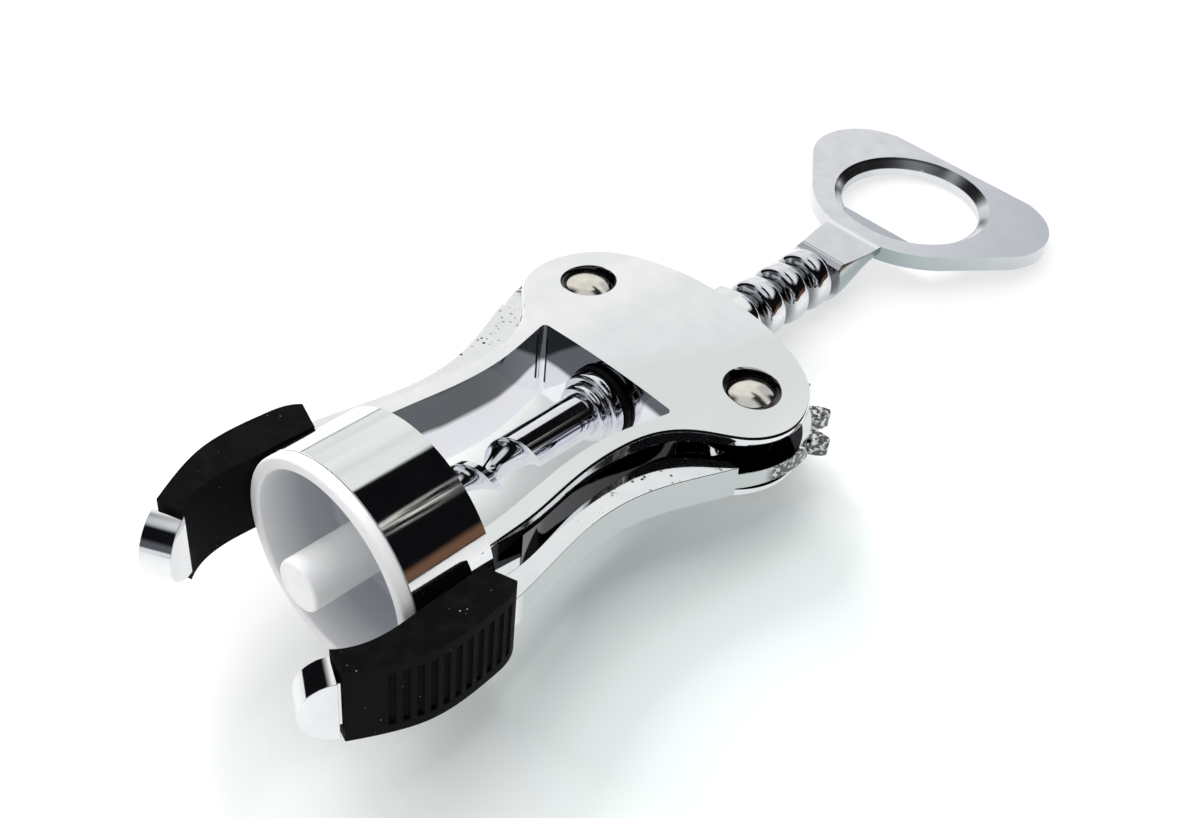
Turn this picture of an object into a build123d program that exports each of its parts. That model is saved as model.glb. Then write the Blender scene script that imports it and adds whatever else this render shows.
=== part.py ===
from build123d import *
from math import acos, cos, pi, radians, sin, tan
import os

# Wing corkscrew, lying on its back. The tool's axis is Y, with the collar's mouth at Y 0 and the
# turning handle at the far end. +Z leaves the front face and the right wing is at +X.
# All sizes are in millimetres.

# ---- Driving dimensions ----

# Collar that stands on the bottle, and its plastic liner
collar_radius = 18.5
collar_height = 14.3
collar_wall = 1.5
collar_end_wall = 1.7
liner_wall = 0.9
liner_floor = 1.5
lip_height = 2.0
lip_inset = 0.2
lip_round = 0.8

# Body casting: head plates, struts and window
body_half_depth = 8.06
crown_radius = 192
head_rim = 10
head_rise = 14.5
boss_rise = 17.3
lower_wall = 2.2
window_drop = 0.4
window_corner_radius = 0.8
strut_web = 1.7
strut_inset = 1.3
channel_rise = 6.7
channel_inset = 2
plate_bevel = 0.3
boss_wall = 1.72

# Pivots and rivets
pivot_y = 70
rivet_radius = 2
rivet_head_radius = 4.1
rivet_head_height = 1.4
rivet_head_edge = 0.3
recess_depth = 2.46
recess_step = 0.5
recess_step_width = 0.45
recess_web = 0.8
pivot_boss_radius = 5.6

# Gear sectors and rack
teeth_per_turn = 12
teeth_on_wing = 6
ring_pitch = 6.65
pressure_angle = 25
tooth_thickness = 2.4
tooth_backlash = 0.85
tooth_height_out = 1.6
tooth_depth_in = 1.9
tooth_foot = 0.3
gear_half_thickness = 1.6
ring_count = 8
first_ring_rise = 4.25
rack_crest_radius = 5.7
crest_drop = 0.3
root_drop = 2.0
swing = 110

# Wing arms, noses and grips
arm_half_thickness = 3
core_half_thickness = 4.4
grip_half_width = 7.2
core_inset = 1.4
core_drop = 0.8
core_link = 2
nose_length = 5.6
nose_half_depth = 5.8
nose_thickness = 5.0
nose_angle = 30

# Ribs of the grip: grooves along its outer edge, between two shares of that edge's length
rib_count = 11
rib_groove_radius = 0.55
rib_half_length = 5.4
first_rib = 0.22
last_rib = 0.9

# Screw, its point guard, and the stop under the head
shank_radius = 3.75
shank_bottom = 34.5
spigot_radius = 2.2
worm_crest_radius = 3.65
worm_wire_radius = 1.75
worm_pitch = 9.3
worm_tip = -4.6
worm_point_length = 9
guard_wall = 0.45
guard_end = -7
guard_top = 12
guard_floor = 0.8
stop_overlap = 0.5
stop_thickness = 2.2
step_radius = 5
step_thickness = 2
washer_overlap = 0.4
washer_thickness = 1.0
journal_drop = 0.9
edge_round = 0.4

# Turning handle
handle_thickness = 3
handle_face = 3.8
handle_rim = 5.2
shoulder_radius = 11.8
shoulder_inset = 6.2
shoulder_rise = 4.2
mouth_radius = 15.3
mouth_drop = 1.3
mouth_bevel = 1.8
mouth_rim = 0.1
tongue_depth = 4.6
tongue_drop = 1.6
neck_half_width = 5.9
neck_length = 10.8
neck_bevel = 1.2
neck_spigot_radius = 2.4
neck_spigot_length = 5

# Cross pins
pin_radius = 0.9
pin_sink = 0.3

# Clearances
running_clearance = 0.08
face_clearance = 0.1
guard_clearance = 0.2
head_clearance = 0.3
neck_relief = 0.5
swing_clearance = 0.6
passing_clearance = 0.7

# ---- Related sizes ----

pitch_radius = teeth_per_turn * ring_pitch / (2 * pi)
gear_outer_radius = pitch_radius + tooth_height_out
gear_root_radius = pitch_radius - tooth_depth_in
base_radius = pitch_radius * cos(radians(pressure_angle))
pitch_line = rack_crest_radius + crest_drop
rack_root_radius = pitch_line - root_drop
rack_bore_radius = rack_crest_radius + running_clearance
boss_radius = rack_bore_radius + boss_wall
journal_radius = rack_crest_radius - journal_drop
stop_radius = rack_crest_radius + stop_overlap
washer_radius = stop_radius + washer_overlap
pivot_x = pitch_line + pitch_radius
rivet_hole_radius = rivet_radius + running_clearance
recess_step_radius = rivet_head_radius + head_clearance
recess_radius = recess_step_radius + recess_step_width
recess_floor = body_half_depth - recess_depth
slot_half_gap = recess_floor - recess_web
liner_radius = collar_radius - collar_wall
liner_inner_radius = liner_radius - liner_wall
liner_top = collar_height - collar_end_wall
guard_outer_radius = worm_crest_radius + guard_clearance + guard_wall
liner_hole_radius = guard_outer_radius + passing_clearance
collar_hole_radius = liner_hole_radius + passing_clearance
head_half_width = pivot_x + head_rim
head_top = pivot_y + head_rise
boss_top = pivot_y + boss_rise
window_top = pivot_y - gear_outer_radius - window_drop
rack_bottom = window_top - washer_thickness - face_clearance
journal_top = window_top + lower_wall
first_ring = journal_top + first_ring_rise
spigot_top = first_ring + ring_pitch
mesh_groove = first_ring + 1.5 * ring_pitch
first_tooth = 180 - (mesh_groove - pivot_y) / pitch_radius * 180 / pi
tooth_step = 360 / teeth_per_turn

# Half of a ring's width at its crest and at its root, from the wings' teeth
ring_at_pitch = ring_pitch - tooth_thickness - tooth_backlash
slope = tan(radians(pressure_angle))
crest_half = ring_at_pitch / 2 + (pitch_line - rack_crest_radius) * slope
root_half = ring_at_pitch / 2 + (pitch_line - rack_root_radius) * slope

# The neck starts above the last ring, and stops just above the boss when the wings are up
stroke = pitch_radius * radians(swing)
rings_end = first_ring + (ring_count - 1) * ring_pitch + root_half
neck_bottom = max(boss_top + stroke + head_clearance, rings_end + neck_relief)
handle_radius = mouth_radius + handle_rim
handle_centre = neck_bottom + neck_length + handle_radius
handle_back = handle_face - handle_thickness
shoulder_x = handle_radius - shoulder_inset
shoulder_y = handle_centre + shoulder_rise
mouth_centre = handle_centre - mouth_drop
mouth_edge = mouth_centre - mouth_radius + mouth_rim

# Neck sections: distance from the neck's end, half width at the top, height of the widest place, bottom
neck_sections = [
    (0, 4.6, 0, -5.4),
    (5, 5.4, 1.0, -3.3),
    (9.5, neck_half_width - 0.05, 2.3, 0.2),
    (12.5, neck_half_width - 0.05, 2.3, handle_back),
]

os.makedirs("parts", exist_ok=True)


def face_height(x):
    """Height of the crowned front face at a distance x from the centre line."""
    return body_half_depth - x * x / (2 * crown_radius)


def beside(share, offset):
    """Point beside the tool: share runs from the collar's end at 0 to the head's lower wall at 1."""
    x = collar_radius + max(share, 0) * (pivot_x - collar_radius) + offset
    return (x, collar_height + share * (window_top - collar_height))


def from_pivot(along, up):
    """Point at these distances from the right wing's pivot."""
    return (pivot_x + along, pivot_y + up)


def involute(angle):
    """Involute function of an angle in radians."""
    return tan(angle) - angle


def flank_angle(radius):
    """Half of the angle that one gear tooth fills at this radius, in radians."""
    at_pitch = tooth_thickness / (2 * pitch_radius)
    rise = involute(acos(base_radius / max(radius, base_radius)))
    return at_pitch + involute(radians(pressure_angle)) - rise


def flank_point(radius, side):
    """Point of a tooth's flank, for a tooth that points along X from the gear's centre."""
    angle = side * flank_angle(radius)
    return (radius * cos(angle), radius * sin(angle))


def write(part, name):
    """Label a finished piece and write it as one STEP file."""
    part.label = name
    export_step(part, f"parts/{name}.step")


# ---- Body casting ----

# The right edge of the head and strut, from the collar up to the middle of the head's top
outline_points = [
    (collar_radius - strut_inset, liner_top),
    beside(0.190, -1.74),
    beside(0.456, -3.29),
    beside(0.695, -3.64),
    beside(0.876, -2.18),
    beside(1.007, 1.40),
    from_pivot(7.3, -9),
    from_pivot(head_rim, -2.2),
    from_pivot(8.3, 5),
    from_pivot(3, 10.3),
    from_pivot(-6.2, 13.4),
    (0, head_top),
]

# The window's right wall, from the collar's end up to the lower wall of the head
window_points = [
    beside(0.000, -4.50),
    beside(0.285, -5.56),
    beside(0.529, -6.71),
    beside(0.724, -6.44),
    beside(0.883, -5.18),
    beside(1.000, -4.10),
]
web_points = [(x + strut_web, y) for x, y in window_points[1:]]
outside = head_half_width + gear_outer_radius

with BuildPart() as body_casting:
    # One slab for the head and both struts, crowned on its front and back
    with BuildSketch(Plane.XY):
        with BuildLine():
            edge = Spline(*outline_points, tangents=((-0.1, 1), (-1, 0)))
            mirror(edge, about=Plane.YZ)
            foot = outline_points[0]
            Line((-foot[0], foot[1]), foot)
        make_face()
    extrude(amount=body_half_depth, both=True)
    with BuildSketch(Plane.XZ):
        with BuildLine():
            corner = (head_half_width + 1, face_height(head_half_width + 1))
            crown = ThreePointArc((-corner[0], corner[1]), (0, body_half_depth), corner)
            mirror(crown, about=Plane.XZ)
            Line(corner, (corner[0], -corner[1]))
            Line((-corner[0], corner[1]), (-corner[0], -corner[1]))
        make_face()
    extrude(amount=-head_top - 1, mode=Mode.INTERSECT)
    rim_edges = body_casting.faces().sort_by(Axis.Z)[-1].edges()
    rim_edges += body_casting.faces().sort_by(Axis.Z)[0].edges()
    chamfer(rim_edges.filter_by(GeomType.BSPLINE), plate_bevel)

    # Round boss over the rack, standing out of the head's top
    with BuildSketch(Plane.XZ.offset(-window_top)):
        Circle(boss_radius)
    extrude(amount=-(boss_top - window_top))

    # Slots for the gear sectors and arms, open along both sides
    with BuildSketch(Plane.XY):
        with Locations((pivot_x, pivot_y)):
            Circle(gear_outer_radius + swing_clearance)
        with BuildLine():
            channel = Spline(*web_points)
            Polyline(
                channel @ 1,
                (pivot_x, pivot_y + gear_outer_radius),
                (outside, pivot_y + gear_outer_radius),
                (outside, collar_height + channel_rise),
                (web_points[0][0] + channel_inset, collar_height + channel_rise),
                channel @ 0,
            )
        make_face()
        mirror(about=Plane.YZ)
    extrude(amount=slot_half_gap, both=True, mode=Mode.SUBTRACT)

    # Window between the struts
    with BuildSketch(Plane.XY):
        with BuildLine():
            wall = Spline(*window_points)
            mirror(wall, about=Plane.YZ)
            Line(wall @ 1, (-(wall @ 1).X, window_top))
            Line(wall @ 0, (-(wall @ 0).X, collar_height))
        window = make_face()
        upper_corners = window.vertices().group_by(Axis.Y)[-1]
        fillet(upper_corners, window_corner_radius)
    extrude(amount=body_half_depth + 1, both=True, mode=Mode.SUBTRACT)

    # Collar ring with its end wall
    with BuildSketch(Plane.XZ):
        Circle(collar_radius)
    extrude(amount=-collar_height)
    with BuildSketch(Plane.XZ):
        Circle(liner_radius)
    extrude(amount=-liner_top, mode=Mode.SUBTRACT)
    with BuildSketch(Plane.XZ):
        Circle(collar_hole_radius)
    extrude(amount=-collar_height, mode=Mode.SUBTRACT)

    # Bore for the rack, through the lower wall, the housing and the boss
    with BuildSketch(Plane.XZ.offset(-(window_top - 1))):
        Circle(rack_bore_radius)
    extrude(amount=-(boss_top - window_top + 2), mode=Mode.SUBTRACT)

    # Pads round the pivots, recesses for the rivet heads, and the rivet holes
    pivots = [(-pivot_x, pivot_y), (pivot_x, pivot_y)]
    for face in (Plane.XY, Plane.XY.rotated((0, 180, 0))):
        with BuildSketch(face.offset(gear_half_thickness + face_clearance)):
            with Locations(*pivots):
                Circle(pivot_boss_radius)
        extrude(amount=slot_half_gap - gear_half_thickness)
        with BuildSketch(face.offset(recess_floor)):
            with Locations(*pivots):
                Circle(recess_step_radius)
        extrude(amount=body_half_depth, mode=Mode.SUBTRACT)
        with BuildSketch(face.offset(recess_floor + recess_step)):
            with Locations(*pivots):
                Circle(recess_radius)
        extrude(amount=body_half_depth, mode=Mode.SUBTRACT)
    with BuildSketch(Plane.XY):
        with Locations(*pivots):
            Circle(rivet_radius)
    extrude(amount=body_half_depth, both=True, mode=Mode.SUBTRACT)
write(body_casting.part, "body_casting")

# ---- Collar liner ----

with BuildPart() as collar_liner:
    with BuildSketch(Plane.XY):
        with BuildLine():
            lip_outer = collar_radius - lip_inset
            lip_bulge = lip_round * (1 - cos(radians(45)))
            Polyline(
                (lip_outer - lip_round, -lip_height),
                (liner_inner_radius + lip_round, -lip_height),
            )
            ThreePointArc(
                (liner_inner_radius + lip_round, -lip_height),
                (liner_inner_radius + lip_bulge, -lip_height + lip_bulge),
                (liner_inner_radius, -lip_height + lip_round),
            )
            Polyline(
                (liner_inner_radius, -lip_height + lip_round),
                (liner_inner_radius, liner_top - liner_floor),
                (liner_hole_radius, liner_top - liner_floor),
                (liner_hole_radius, liner_top),
                (liner_radius, liner_top),
                (liner_radius, 0),
                (lip_outer, 0),
                (lip_outer, -lip_height + lip_round),
            )
            ThreePointArc(
                (lip_outer, -lip_height + lip_round),
                (lip_outer - lip_bulge, -lip_height + lip_bulge),
                (lip_outer - lip_round, -lip_height),
            )
        make_face()
    revolve(axis=Axis.Y)
write(collar_liner.part, "collar_liner")

# ---- Worm guard ----

with BuildPart() as tip_guard:
    with BuildSketch(Plane.XZ.offset(-guard_end)):
        Circle(guard_outer_radius)
    extrude(amount=-(guard_top - guard_end))
    with BuildSketch(Plane.XZ.offset(-(guard_end + guard_floor))):
        Circle(guard_outer_radius - guard_wall)
    extrude(amount=-(guard_top - guard_end), mode=Mode.SUBTRACT)
    fillet(tip_guard.edges().group_by(Axis.Y)[0], guard_wall)
write(tip_guard.part, "tip_guard")

# ---- Wings ----

# Edges of the arm below its thicker root, the inner one upwards and the outer one downwards
arm_inner_points = [
    beside(-0.105, 0.52),
    beside(0.180, 0.60),
    beside(0.417, -1.50),
    beside(0.634, -2.00),
    beside(0.846, -1.40),
    from_pivot(2.1, -14.5),
    from_pivot(5, -12.9),
    from_pivot(8.6, -12.3),
]
arm_outer_points = [
    from_pivot(8.6, -12.3),
    beside(0.900, 5.92),
    beside(0.741, 3.55),
    beside(0.578, 2.28),
    beside(0.339, 2.73),
    beside(0.037, 5.19),
    beside(-0.105, 5.92),
]

# Grip: inner edge downwards and outer edge upwards
grip_inner_points = [
    beside(-0.080, 0.47),
    beside(-0.178, 0.74),
    beside(-0.349, 0.87),
    beside(-0.471, 1.09),
    beside(-0.593, 0.42),
    beside(-0.690, -1.76),
]
grip_outer_points = [
    beside(-0.722, 2.64),
    beside(-0.568, 5.91),
    beside(-0.459, 7.49),
    beside(-0.312, 8.06),
    beside(-0.178, 7.74),
    beside(-0.090, 7.12),
    beside(-0.037, 5.81),
]

# Thin cheek of the hub: it bulges out on the lower side and overlaps the arm
cheek_points = [
    from_pivot(11.5, 2.4),
    from_pivot(6.8, -3),
    from_pivot(2.1, -14.5),
    from_pivot(6.8, -16.5),
    from_pivot(8.6, -12.3),
]
cheek_middle = from_pivot(11.65, -4.1)

# Nose: a rounded end that stands on the grip's lower end and points inwards
nose_root = beside(-0.711, 0.54)
nose_along = Vector(-sin(radians(nose_angle)), -cos(radians(nose_angle)), 0)
nose_plane = Plane(nose_root, x_dir=nose_along, z_dir=nose_along.cross(Vector(0, 0, 1)))

with BuildSketch() as gear_tooth:
    # One tooth that points along X, with an involute flank on each side
    with BuildLine():
        foot_radius = gear_root_radius - tooth_foot
        for side in (1, -1):
            ThreePointArc(
                flank_point(foot_radius, side),
                flank_point(pitch_radius, side),
                flank_point(gear_outer_radius, side),
            )
        Line(flank_point(gear_outer_radius, 1), flank_point(gear_outer_radius, -1))
        Line(flank_point(foot_radius, 1), flank_point(foot_radius, -1))
    make_face()

with BuildPart() as right_lever:
    # Gear sector on a hub disc, with a thin cheek that runs down into the arm
    sector_angle = tooth_step * (teeth_on_wing - 1)
    with BuildSketch(Plane.XY):
        with Locations((pivot_x, pivot_y)):
            Circle(gear_root_radius)
            last_tooth = first_tooth - sector_angle
            with PolarLocations(0, teeth_on_wing, last_tooth, sector_angle, endpoint=True):
                add(gear_tooth.sketch)
        with BuildLine():
            ThreePointArc(cheek_points[0], cheek_middle, cheek_points[-1])
            Polyline(*cheek_points)
        make_face()
    extrude(amount=gear_half_thickness, both=True)

    # Arm, from the cheek down to the grip
    with BuildSketch(Plane.XY):
        with BuildLine():
            inner = Spline(*arm_inner_points)
            outer = Spline(*arm_outer_points)
            Line(outer @ 1, inner @ 0)
        make_face()
    extrude(amount=arm_half_thickness, both=True)

    # Core inside the grip
    with BuildSketch(Plane.XY):
        with BuildLine():
            inner = Spline(*[(x + core_inset, y - core_drop) for x, y in grip_inner_points])
            outer = Spline(*[(x - core_inset, y - core_drop) for x, y in grip_outer_points])
            Line(inner @ 1, outer @ 0)
            Line(outer @ 1, inner @ 0)
        make_face()
    extrude(amount=core_half_thickness, both=True)

    # Nose, and the link that joins it to the core
    with BuildSketch(nose_plane):
        Ellipse(nose_length, nose_half_depth)
        Rectangle(nose_length, 2 * nose_half_depth, align=(Align.MAX, Align.CENTER), mode=Mode.SUBTRACT)
    extrude(amount=nose_thickness / 2, both=True)
    with BuildSketch(nose_plane):
        Rectangle(2 * core_link, 2 * arm_half_thickness)
    extrude(amount=nose_thickness / 2 - core_inset, both=True)
    with Locations((pivot_x, pivot_y)):
        Hole(rivet_hole_radius)
write(right_lever.part, "right_lever")

with BuildPart() as left_lever:
    mirror(right_lever.part, about=Plane.YZ)
write(left_lever.part, "left_lever")

# ---- Grips ----

with BuildPart() as right_grip:
    with BuildSketch(Plane.XY):
        with BuildLine():
            inner = Spline(*grip_inner_points)
            outer = Spline(*grip_outer_points)
            Line(inner @ 1, outer @ 0)
            Line(outer @ 1, inner @ 0)
        make_face()
    extrude(amount=grip_half_width, both=True)
    with BuildSketch(Plane.XY):
        ribs = [outer @ (first_rib + i * (last_rib - first_rib) / (rib_count - 1)) for i in range(rib_count)]
        with Locations(*ribs):
            Circle(rib_groove_radius)
    extrude(amount=rib_half_length, both=True, mode=Mode.SUBTRACT)
    add(right_lever.part, mode=Mode.SUBTRACT)
write(right_grip.part, "right_grip")

with BuildPart() as left_grip:
    mirror(right_grip.part, about=Plane.YZ)
write(left_grip.part, "left_grip")

# ---- Pivot rivets ----

for name, x in (("right_pivot_rivet", pivot_x), ("left_pivot_rivet", -pivot_x)):
    with BuildPart() as pivot_rivet:
        with BuildSketch(Plane.XY):
            with Locations((x, pivot_y)):
                Circle(rivet_radius)
        extrude(amount=recess_floor, both=True)
        for face in (Plane.XY, Plane.XY.rotated((0, 180, 0))):
            with BuildSketch(face.offset(recess_floor)):
                with Locations((face.x_dir.X * x, pivot_y)):
                    Circle(rivet_head_radius)
            extrude(amount=rivet_head_height)
        rims = pivot_rivet.edges().filter_by(GeomType.CIRCLE).group_by(Axis.Z)
        fillet(rims[0] + rims[-1], rivet_head_height - rivet_head_edge)
    write(pivot_rivet.part, name)

# ---- Rack shaft ----

with BuildPart() as rack_shaft:
    with BuildSketch(Plane.XY):
        with BuildLine():
            profile = [(0, rack_bottom), (journal_radius, rack_bottom), (journal_radius, journal_top)]
            profile += [(rack_root_radius, journal_top + journal_radius - rack_root_radius)]
            for ring in range(ring_count):
                middle = first_ring + ring * ring_pitch
                profile += [
                    (rack_root_radius, middle - root_half),
                    (rack_crest_radius, middle - crest_half),
                    (rack_crest_radius, middle + crest_half),
                    (rack_root_radius, middle + root_half),
                ]
            profile += [(rack_root_radius, neck_bottom), (neck_spigot_radius, neck_bottom)]
            profile += [(neck_spigot_radius, neck_bottom + neck_spigot_length)]
            profile += [(0, neck_bottom + neck_spigot_length)]
            Polyline(*profile, close=True)
        make_face()
    revolve(axis=Axis.Y)
    with BuildSketch(Plane.XZ.offset(-rack_bottom)):
        Circle(spigot_radius)
    extrude(amount=-(spigot_top - rack_bottom), mode=Mode.SUBTRACT)
    with BuildSketch(Plane.XY):
        with Locations((0, first_ring), (0, neck_bottom + neck_spigot_length / 2)):
            Circle(pin_radius)
    extrude(amount=rack_crest_radius, both=True, mode=Mode.SUBTRACT)
write(rack_shaft.part, "rack_shaft")

# ---- Stop under the head ----

with BuildPart() as stop_collar:
    with BuildSketch(Plane.XZ.offset(-rack_bottom)):
        Circle(stop_radius)
    extrude(amount=stop_thickness)
    with BuildSketch(Plane.XZ.offset(-(rack_bottom - stop_thickness))):
        Circle(step_radius)
    extrude(amount=step_thickness)
    round_edges = stop_collar.edges().filter_by(GeomType.CIRCLE)
    fillet(round_edges.group_by(Axis.Y)[0] + round_edges.group_by(Axis.Y)[-1], edge_round)
    with BuildSketch(Plane.XZ.offset(-rack_bottom)):
        Circle(spigot_radius)
    extrude(amount=stop_thickness + step_thickness, mode=Mode.SUBTRACT)
write(stop_collar.part, "stop_collar")

with BuildPart() as stop_washer:
    with BuildSketch(Plane.XZ.offset(-(rack_bottom + face_clearance / 2))):
        Circle(washer_radius)
        Circle(journal_radius + running_clearance, mode=Mode.SUBTRACT)
    extrude(amount=-washer_thickness)
write(stop_washer.part, "stop_washer")

# ---- Worm ----

with BuildPart() as worm:
    helix_radius = worm_crest_radius - worm_wire_radius
    with BuildLine():
        turns = Helix(
            worm_pitch,
            shank_bottom - worm_tip,
            helix_radius,
            center=(0, shank_bottom, 0),
            direction=(0, -1, 0),
        )
    with BuildSketch(Plane(turns @ 0, z_dir=turns % 0)):
        Circle(worm_wire_radius)
    sweep(path=turns, is_frenet=True)
    with BuildSketch(Plane.XY):
        with BuildLine():
            Polyline(
                (0, shank_bottom + worm_pitch),
                (shank_radius, shank_bottom + worm_pitch),
                (shank_radius, worm_tip + worm_point_length),
                (helix_radius / 2, worm_tip),
                (0, worm_tip),
                close=True,
            )
        make_face()
    revolve(axis=Axis.Y, mode=Mode.INTERSECT)
    shank_top = rack_bottom - stop_thickness - step_thickness
    with BuildSketch(Plane.XZ.offset(-shank_bottom)):
        Circle(shank_radius)
    extrude(amount=-(shank_top - shank_bottom))
    with BuildSketch(Plane.XZ.offset(-shank_top)):
        Circle(spigot_radius)
    extrude(amount=-(spigot_top - shank_top))
    with BuildSketch(Plane.XY):
        with Locations((0, first_ring)):
            Circle(pin_radius)
    extrude(amount=shank_radius, both=True, mode=Mode.SUBTRACT)
write(worm.part, "worm")

with BuildPart() as worm_pin:
    with BuildSketch(Plane.XY):
        with Locations((0, first_ring)):
            Circle(pin_radius)
    extrude(amount=rack_crest_radius - pin_sink, both=True)
write(worm_pin.part, "worm_pin")

# ---- Turning handle ----

with BuildPart() as opener_handle:
    # Flat plate with rounded shoulders
    with BuildSketch(Plane.XY.offset(handle_back)):
        with Locations((0, handle_centre)):
            Circle(handle_radius)
        with Locations((-shoulder_x, shoulder_y), (shoulder_x, shoulder_y)):
            Circle(shoulder_radius)
        make_hull()
        with Locations((0, shoulder_y + shoulder_radius)):
            Rectangle(2 * handle_radius, handle_radius, align=(Align.CENTER, Align.MIN), mode=Mode.SUBTRACT)
    extrude(amount=handle_thickness)

    # Neck: round at the rack, flat on top, and thinned from below towards the plate
    for distance, half_top, side_level, bottom in neck_sections:
        with BuildSketch(Plane.XZ.offset(-neck_bottom - distance)):
            with BuildLine():
                right_side = ThreePointArc(
                    (half_top, handle_face),
                    (neck_half_width, side_level),
                    (half_top / 2, bottom),
                )
                left_side = ThreePointArc(
                    (-half_top / 2, bottom),
                    (-neck_half_width, side_level),
                    (-half_top, handle_face),
                )
                Line(right_side @ 1, left_side @ 0)
                Line(left_side @ 1, right_side @ 0)
            make_face()
    loft()
    with BuildSketch(Plane.YZ):
        with BuildLine():
            Polyline(
                (neck_bottom, handle_face),
                (neck_bottom + neck_bevel, handle_face),
                (neck_bottom, handle_face - neck_bevel / 2),
                close=True,
            )
        make_face()
    extrude(amount=2 * neck_half_width, both=True, mode=Mode.SUBTRACT)

    # Bottle opener: a bevelled round opening, cut straight at the neck's side by the cap hook
    with BuildSketch(Plane.XY.offset(handle_face)):
        with Locations((0, mouth_centre)):
            Circle(mouth_radius)
        with Locations((0, mouth_edge)):
            Rectangle(3 * mouth_radius, mouth_radius, align=(Align.CENTER, Align.MAX), mode=Mode.SUBTRACT)
    extrude(amount=-tongue_drop, taper=45, mode=Mode.SUBTRACT)
    with BuildSketch(Plane.XY.offset(handle_face)):
        with Locations((0, mouth_centre)):
            Circle(mouth_radius - mouth_bevel)
        with Locations((0, mouth_edge + tongue_depth)):
            Rectangle(3 * mouth_radius, mouth_radius, align=(Align.CENTER, Align.MAX), mode=Mode.SUBTRACT)
    extrude(amount=-handle_thickness, mode=Mode.SUBTRACT)

    # Socket for the rack's spigot and the hole of its cross pin
    with BuildSketch(Plane.XZ.offset(-neck_bottom)):
        Circle(neck_spigot_radius)
    extrude(amount=-neck_spigot_length, mode=Mode.SUBTRACT)
    with BuildSketch(Plane.XY.offset(neck_spigot_radius)):
        with Locations((0, neck_bottom + neck_spigot_length / 2)):
            Circle(pin_radius)
    extrude(amount=-2 * neck_half_width, mode=Mode.SUBTRACT)
write(opener_handle.part, "opener_handle")

with BuildPart() as handle_pin:
    with BuildSketch(Plane.XY.offset(neck_spigot_radius)):
        with Locations((0, neck_bottom + neck_spigot_length / 2)):
            Circle(pin_radius)
    extrude(amount=-2 * neck_spigot_radius - pin_sink)
write(handle_pin.part, "handle_pin")
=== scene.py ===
import bmesh
import bpy
import math
import numpy as np
from mathutils import Matrix


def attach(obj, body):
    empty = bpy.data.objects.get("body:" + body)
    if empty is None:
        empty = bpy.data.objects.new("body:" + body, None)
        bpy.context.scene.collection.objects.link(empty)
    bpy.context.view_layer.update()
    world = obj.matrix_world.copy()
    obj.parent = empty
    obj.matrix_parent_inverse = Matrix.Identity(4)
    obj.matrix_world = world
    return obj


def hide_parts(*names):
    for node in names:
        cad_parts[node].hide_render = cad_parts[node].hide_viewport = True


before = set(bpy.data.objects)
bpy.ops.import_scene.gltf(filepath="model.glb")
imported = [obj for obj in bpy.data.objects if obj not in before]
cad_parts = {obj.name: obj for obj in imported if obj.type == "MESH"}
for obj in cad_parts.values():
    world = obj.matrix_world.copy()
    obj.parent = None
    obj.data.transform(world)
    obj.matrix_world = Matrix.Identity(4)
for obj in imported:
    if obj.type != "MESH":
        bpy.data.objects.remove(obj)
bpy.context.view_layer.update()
mm = 0.001
pivot = (18.7006, 70.0)  # the right wing's axis in millimetres, the left wing mirrors it
print("frame loaded:", len(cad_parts), "nodes")

# Merge distances in metres for new shapes and for copies of nodes, angles in degrees, steps on a rounded
# corner, and the largest share of a side that one corner may take
meshCare = {
    "mergeNew": 2e-7, "mergeCopy": 2e-6, "flatAngle": 0.3, "sharpAngle": 24, "bevelSteps": 2,
    "cornerSteps": 5, "cornerShare": 0.48, "segments": 96,
}


def standIn(name, mesh, body, node):  # a piece that rides on the body in place of the node
    piece = bpy.data.objects.new(name, mesh)
    bpy.context.scene.collection.objects.link(piece)
    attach(piece, body)
    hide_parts(node)
    return piece


def closedObject(name, bm, body, node):  # merged, facing outwards and smooth
    bmesh.ops.remove_doubles(bm, verts=bm.verts, dist=meshCare["mergeNew"])
    bmesh.ops.recalc_face_normals(bm, faces=bm.faces)
    mesh = bpy.data.meshes.new(name)
    bm.to_mesh(mesh)
    bm.free()
    mesh.shade_smooth()
    return standIn(name, mesh, body, node)


def gridMesh(points, wrapRows, wrapColumns):
    # Quads between the neighbours of a rows x columns array of points, which are in millimetres
    rows, columns = points.shape[:2]
    index = np.arange(rows * columns).reshape(rows, columns)
    if wrapRows:
        index = np.vstack([index, index[:1]])
    if wrapColumns:
        index = np.hstack([index, index[:, :1]])
    quads = np.stack([index[:-1, :-1], index[1:, :-1], index[1:, 1:], index[:-1, 1:]], -1).reshape(-1, 4)
    mesh = bpy.data.meshes.new("grid")
    mesh.from_pydata((points.reshape(-1, 3) * mm).tolist(), [], quads.tolist())
    bm = bmesh.new()
    bm.from_mesh(mesh)
    bpy.data.meshes.remove(mesh)
    return bm


def roundCorners(corners):
    # Each corner (a, b, r) of a polyline becomes an arc that leaves each side at r from the corner:
    # a quadratic Bezier curve through the two tangent points with the corner as its middle control point.
    path = np.array(corners, float)
    before, after = np.roll(path[:, :2], 1, axis=0), np.roll(path[:, :2], -1, axis=0)
    t = np.linspace(0, 1, meshCare["cornerSteps"])[None, :, None]

    def towards(other):
        way = other - path[:, :2]
        length = np.maximum(np.linalg.norm(way, axis=1, keepdims=True), 1e-9)  # never quite nought
        return path[:, :2] + way / length * np.minimum(path[:, 2:3], length * meshCare["cornerShare"])

    start, end, middle = towards(before)[:, None], towards(after)[:, None], path[:, None, :2]
    curve = (1 - t) ** 2 * start + 2 * t * (1 - t) * middle + t ** 2 * end
    pieces = zip(curve, path[:, 2], path[:, :2])
    return np.vstack([arc if r > 0 else corner[None] for arc, r, corner in pieces])


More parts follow.
